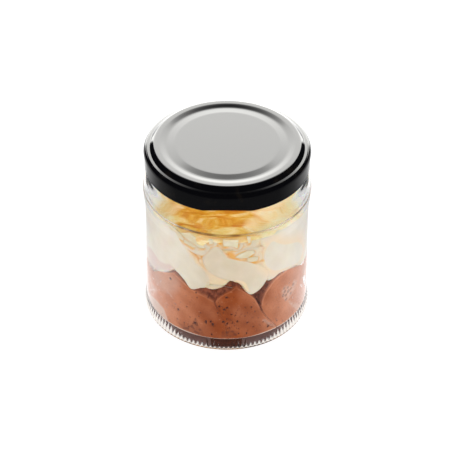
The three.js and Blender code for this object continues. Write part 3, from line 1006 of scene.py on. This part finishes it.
def build_cream(material):
    path = food_path(CREAM_FOOT, CREAM_TOP - 1.0, 0.3, 1.2, CREAM_FOOT_INSET)
    angle, r, z, points = spread(path)
    turn = turn_from(angle)
    lobes = [CREAM_LEFT, CREAM_TONGUE, CREAM_RIGHT] + CREAM_BEHIND + [
        turned_copy(CREAM_TONGUE, 120, True, 0, 1.2), turned_copy(CREAM_LEFT, 175, False),
        turned_copy(CREAM_RIGHT, 95, True), turned_copy(CREAM_TONGUE, -125, False, 1.0, 1.1),
        turned_copy(CREAM_RIGHT, 175, False),
    ]
    lobes += [turned_copy(b, 180, True) for b in CREAM_BEHIND]
    core = CREAM_CORE + 1.0 * ripple(points, 15, 5) + 4 * smoothstep(42, 38, z)
    depth, _ = merged(lobes + flake_beds(GLASS_FLAKES + [FLAKE_BED]), angle, z, core)
    depth = touching(depth, 0.24 * ripple(points, 6, 21))
    free = depth > 0
    cavity = np.clip((depth - softened(depth, 4, 5)) / 0.35, 0, 1)
    on_top = smoothstep(INSIDE - 0.8, INSIDE - 4.0, r) * (z > CREAM_TOP - 4)
    heap = np.maximum(1.0, 1.6 - 0.8 * ripple(points, 17, 8) - 0.4 * ripple(points, 7, 9))
    depth = depth * (1 - on_top) + heap * on_top
    depth = np.where(z < CREAM_FOOT + 0.01, 0.2, depth)
    # peach shade in recesses and round the right dollop
    in_dollop = lobe_depth({"outline": DOLLOP}, angle, z)[1]
    round_dollop = smoothstep(0.25, -0.25, in_dollop) * smoothstep(-7.0, -0.3, in_dollop)
    recess_shade = [
        0.7 * smoothstep(0.0, 0.7, depth), 0.8 * cavity, 0.6 * round_dollop,
        0.7 * blot(TONGUE_UNDERSIDE, angle, z, 0.4),
    ]
    # golden stains beside the shavings, in recesses high up, and along the tongue's upper edge
    in_beds = np.max([lobe_depth(bed, angle + 1.0, z + 0.5)[1] for bed in flake_beds(GLASS_FLAKES)], axis=0)
    by_flakes = smoothstep(-1.0, 0.3, in_beds) * free * (0.6 + 0.3 * ripple(points, 4, 22))
    stained = 0.25 + 0.75 * smoothstep(-32, -24, turn) * smoothstep(14, 8, turn)
    stained = np.where(np.abs(turn) > 75, 0.6, stained) * (0.15 + 0.85 * smoothstep(42, 58, z))
    recesses = np.clip((0.9 * cavity + 0.5 * smoothstep(1.0, 3.0, depth)) * stained, 0, 1)
    piece = filling("cream_dollops", path, depth, material, "ivory_cream", {
        "recess_shade": np.max(recess_shade, axis=0),
        "stain": np.max([by_flakes, recesses, 0.8 * blot(GOLDEN_SEAM, angle, z, 0.9) * free], axis=0),
        # painted pale haze over the cream's left foot
        "smear_and_sheen": 0.8 * blot(FILM, angle, z, 0.8),
        # lighter towards the sides as a painted haze
        "tone": smoothstep(5, 45, np.abs(turn)),
    })
    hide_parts("cream")


# outline of the sauce that runs down the glass from the shoulder
SAUCE_RUN = {"edge": 0.5, "cliff": 12, "outline": [
    (-50, 66), (-48, 63.6), (-40, 63.4), (-34, 62.6), (-26, 62.8), (-22.6, 62), (-21, 59.4),
    (-17.6, 58.8), (-14.6, 60.8), (-11, 61.9), (-6, 61.8), (-3, 62.2), (4, 62), (10, 61.6), (16, 62),
    (24, 62.2), (34, 63), (36, 66),
]}


def build_sauce(material):
    path = food_path(SAUCE_FOOT, SAUCE_TOP + 0.3, 0.4, 0.9, SAUCE_FOOT_INSET)
    angle, r, z, points = spread(path)
    swirl = 0.3 + 0.3 * ripple(points, 13, 31) + 0.06 * ripple(points, 4.5, 32)
    runs = [SAUCE_RUN]
    runs += [turned_copy(SAUCE_RUN, turn, flip) for turn, flip in ((92, True), (184, False), (-84, True))]
    at_wall = np.where(z < SAUCE_EDGE_HEIGHT, 6.0, 0.4 + 0.3 * ripple(points, 9, 33))
    at_wall = touching(merged(runs, angle, z, at_wall)[0])
    on_wall = smoothstep(INSIDE - 2.5, INSIDE - 0.8, r)
    depth = swirl * (1 - on_wall) + at_wall * on_wall
    depth = np.where(z < SAUCE_FOOT + 0.6, 0.2, depth)
    # pale to the right, at the far left as painted light, and near the glass; nearly white at both sides as
    # a painted glare
    across = points[..., 0] + 3 * ripple(points, 8, 35)
    pale = np.maximum(0.95 * smoothstep(8, 16, across), 0.75 * smoothstep(-20, -27, across))
    beside = np.abs(np.sin(np.radians(angle)))
    piece = filling("sauce_pool", path, depth, material, "golden_sauce", {
        "pale": np.maximum(pale, 0.5 * smoothstep(INSIDE - 2.5, INSIDE - 1.2, r)),
        "side_glare": smoothstep(0.9, 0.98, beside) * smoothstep(INSIDE - 3.5, INSIDE - 2.0, r),
    })
    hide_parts("golden_sauce")


# -------- flakes

FLAKE_THICKNESS = 0.45
LOOSE_FLAKES = 24
LOOSE_FLAKE_SPREAD = 29


def plate(front, back):
    """A closed plate between two loops of points, the first in front."""
    n = len(front)
    ahead = [(i + 1) % n for i in range(n)]
    faces = [list(range(n)), list(range(2 * n - 1, n - 1, -1))]
    faces += [[i, i + n, ahead[i] + n, ahead[i]] for i in range(n)]
    return np.vstack([front, back]), faces


def glass_flake(outline, turn=0):
    """A shaving that lies flat on the inside of the glass."""
    loop = resampled(outline + outline[:1], 1.2)[:-1]
    middle = loop.mean(0)
    front = [(share, 0) for share in (0, 0.4, 0.75, 0.96)]
    back = [(1, 0.12), (1, 0.4), (0.6, FLAKE_THICKNESS), (0, FLAKE_THICKNESS)]
    rings = []
    for share, behind in front + back:
        angle, z = (middle + (loop - middle) * share).T
        rings.append(around(angle + turn, inner_radius(z) + INTO_GLASS / 2 - behind, z))
    return ring_skin(np.array(rings))


def loose_flake(rng):
    """A bent shaving that lies in the sauce on top."""
    length, width = rng.uniform(3, 7), rng.uniform(1.2, 3.0)
    corners = np.array([(-0.5, -0.5), (0, -0.55), (0.5, -0.3), (0.55, 0.4), (0, 0.5), (-0.45, 0.4)])
    flat = (corners + rng.uniform(-0.08, 0.08, corners.shape)) * (length, width)
    bend = rng.uniform(-0.3, 0.5) * (2 * flat[:, 0] / length) ** 2
    low = np.column_stack([flat, bend])
    turn, tilt = rng.uniform(0, 2 * math.pi), rng.normal(0, 0.22)
    x = np.array([math.cos(turn) * math.cos(tilt), math.sin(turn) * math.cos(tilt), math.sin(tilt)])
    y = np.array([-math.sin(turn), math.cos(turn), 0])
    axes = np.array([x, y, np.cross(x, y)])
    r, a = LOOSE_FLAKE_SPREAD * math.sqrt(rng.uniform(0.02, 1)), rng.uniform(0, 2 * math.pi)
    place = np.array([r * math.cos(a), r * math.sin(a), SAUCE_TOP - 1.0 + rng.uniform(-0.5, 0.2)])
    return plate((low + (0, 0, FLAKE_THICKNESS)) @ axes + place, low @ axes + place)


def build_flakes(material):
    rng = np.random.default_rng(21)
    flakes = [(0.0, glass_flake(outline, turn)) for outline in GLASS_FLAKES for turn in FLAKE_TURNS]
    flakes += [(1.0, loose_flake(rng)) for _ in range(LOOSE_FLAKES)]
    vertices, faces, soaked = [], [], []
    for soaking, (points, sides) in flakes:
        faces += [[i + len(soaked) for i in side] for side in sides]
        vertices.append(points)
        soaked += [soaking] * len(points)
    piece = make_object("pale_flakes", np.vstack(vertices), faces, material, "ivory_flakes")
    store(piece, "soaked", soaked)


# -------- stage, light, camera

FLOOR_HALF = 3.0
FLOOR_BELOW = 0.00002  # keeps the floor clear of the jar's foot
FLOOR_GLOW = 0.75
SKY_LIGHT = 0.8
SCREEN_LIGHT = 8.0
SCREEN_COLOUR = (1.0, 0.995, 0.965, 1)
DARK_ROOM = (0.02, 0.02, 0.024, 1)  # what mirrors see beside the screen

CAMERA_DISTANCE = 0.9
CAMERA_ELEVATION = 38.31
CAMERA_LENS = 159.35
CAMERA_TARGET_SHARE = 0.4802  # of the height with the lid
CAMERA_ROLL = 0.33
CAMERA_SHIFT = -0.002


def build_floor():
    """A pale floor, overexposed as under studio lamps. Mirrors see it dim and uneven instead."""
    material, tree, shader = new_material("pale_floor")
    place = tree.add("ShaderNodeNewGeometry").outputs["Position"]
    xyz = tree.add("ShaderNodeSeparateXYZ", {"Vector": place})
    away = tree.flat_length(xyz)
    # the glow fades towards and under the jar's foot: a painted shadow round and under the jar
    glow = tree.ramp(tree.math("DIVIDE", away, HEEL_RADIUS * MM), [
        (0.0, FLOOR_GLOW * 0.1), (0.5, FLOOR_GLOW * 0.25), (0.78, FLOOR_GLOW * 0.5), (0.9, FLOOR_GLOW),
    ])
    tree.feed(shader, {
        "Base Color": tree.ramp(tree.noise(4.0), [(0.3, 0.34), (0.7, 0.36)]), "Roughness": 0.9,
        "Emission Color": (1, 1, 1, 1), "Emission Strength": glow,
    })
    # what mirrors see, from straight in front of the jar (0) to straight behind it (1)
    turn = tree.math("MULTIPLY_ADD", tree.math("DIVIDE", xyz.outputs["Y"], away), 0.5, 0.5)
    near = tree.ramp(turn, [
        (0.0, 0.02), (0.13, 0.08), (0.3, 0.28), (0.46, 0.4), (0.6, 0.36), (0.8, 0.29), (1.0, 0.28),
    ])
    near = tree.mix(1.0, near, tree.mapped(away, 0.05, 0.09, 1.0, 0.55, "LINEAR"), "MULTIPLY")
    near = tree.mix(1.0, near, tree.ramp(turn, [(0.85, 0.0), (0.97, 0.3)]), "LIGHTEN")
    far = tree.ramp(turn, [
        (0.0, 0.025), (0.3, 0.025), (0.53, 0.07), (0.7, 0.16), (0.82, 0.2), (0.93, 0.4), (1.0, 1.0),
    ])
    seen = tree.mix(tree.mapped(away, 0.108, 0.120), near, far)
    mirrored = tree.add("ShaderNodeEmission", {"Color": seen, "Strength": 4.0})
    tree.end_with(tree.light_path("Is Glossy Ray"), shader, mirrored)
    mesh = bpy.data.meshes.new("floor")
    sides = ((-1, -1), (1, -1), (1, 1), (-1, 1))
    corners = [(x * FLOOR_HALF, y * FLOOR_HALF, -FLOOR_BELOW) for x, y in sides]
    mesh.from_pydata(corners, [], [(0, 1, 2, 3)])
    mesh.materials.append(material)
    floor = linked("floor", mesh)


def build_world():
    """Even white light; what mirrors see is a bright screen behind the jar, dark elsewhere."""
    world = bpy.data.worlds.new("studio")
    bpy.context.scene.world = world
    world.use_nodes = True
    tree = Tree(world.node_tree)
    direction = tree.add("ShaderNodeTexCoord").outputs["Generated"]
    xyz = tree.add("ShaderNodeSeparateXYZ", {"Vector": direction})
    rearward = tree.math("DIVIDE", xyz.outputs["Y"], tree.flat_length(xyz))
    width = tree.mix(tree.mapped(rearward, 0.815, 0.85), (0, 0, 0, 1), SCREEN_COLOUR)
    height = tree.ramp(xyz.outputs["Z"], [
        (0.0, 0.9), (0.65, 1.0), (0.69, 0.95), (0.73, 0.62), (0.79, 0.34), (0.83, 0.17),
        (0.88, 0.02), (0.92, 0.0),
    ])
    screen = tree.mix(1.0, height, width, "MULTIPLY")
    mirrored = tree.mix(1.0, screen, (SCREEN_LIGHT,) * 3 + (1,), "MULTIPLY")
    mirrored = tree.mix(1.0, mirrored, DARK_ROOM, "ADD")
    colour = tree.mix(tree.light_path("Is Glossy Ray"), (SKY_LIGHT,) * 3 + (1,), mirrored)
    tree.feed(world.node_tree.nodes["Background"], {"Color": colour, "Strength": 1.0})


def area_light(name, shape, size, energy):
    """A soft lamp that neither the camera nor a mirror sees."""
    lamp = bpy.data.lights.new(name, "AREA")
    lamp.shape = shape
    lamp.size = size
    lamp.energy = energy
    light = linked(name, lamp)
    light.visible_camera = False
    light.visible_glossy = False
    light.visible_transmission = False
    return light


def aim(thing, azimuth, elevation, distance, target_height):
    """Put a lamp or a camera this far from a point on the jar's axis, and turn it there."""
    a, e = math.radians(azimuth), math.radians(elevation)
    back = Vector((math.sin(a) * math.cos(e), -math.cos(a) * math.cos(e), math.sin(e)))
    thing.location = Vector((0, 0, target_height)) + back * distance
    thing.rotation_mode = "QUATERNION"
    thing.rotation_quaternion = (-back).to_track_quat("-Z", "Y")


def build_lights():
    """A key light from the front, and a fill for the light that the glass leads under the lid."""
    key = area_light("key_light", "SQUARE", 0.6, 5.0)
    aim(key, azimuth=5, elevation=35, distance=1.2, target_height=LID_TOP * MM / 2)
    fill = area_light("headspace_fill", "DISK", 2 * (BORE - 4) * MM, 0.006)
    fill.location = (0, 0, (LID_TOP - 2.5) * MM)


def build_camera():
    data = bpy.data.cameras.new("camera")
    data.lens = CAMERA_LENS
    data.sensor_width = 36
    data.shift_x = CAMERA_SHIFT
    camera = linked("camera", data)
    aim(camera, 0, CAMERA_ELEVATION, CAMERA_DISTANCE, LID_TOP * MM * CAMERA_TARGET_SHARE)
    roll = Quaternion((0, 0, 1), math.radians(CAMERA_ROLL))
    camera.rotation_quaternion = camera.rotation_quaternion @ roll
    bpy.context.scene.camera = camera


build_jar(glass_material())
build_lid(lacquer_material(), liner_material())
build_mousse(mousse_material())
build_cream(cream_material())
build_sauce(sauce_material())
build_flakes(flake_material())
build_floor()
build_world()
build_lights()
build_camera()
bpy.context.scene.view_settings.view_transform = "Standard"
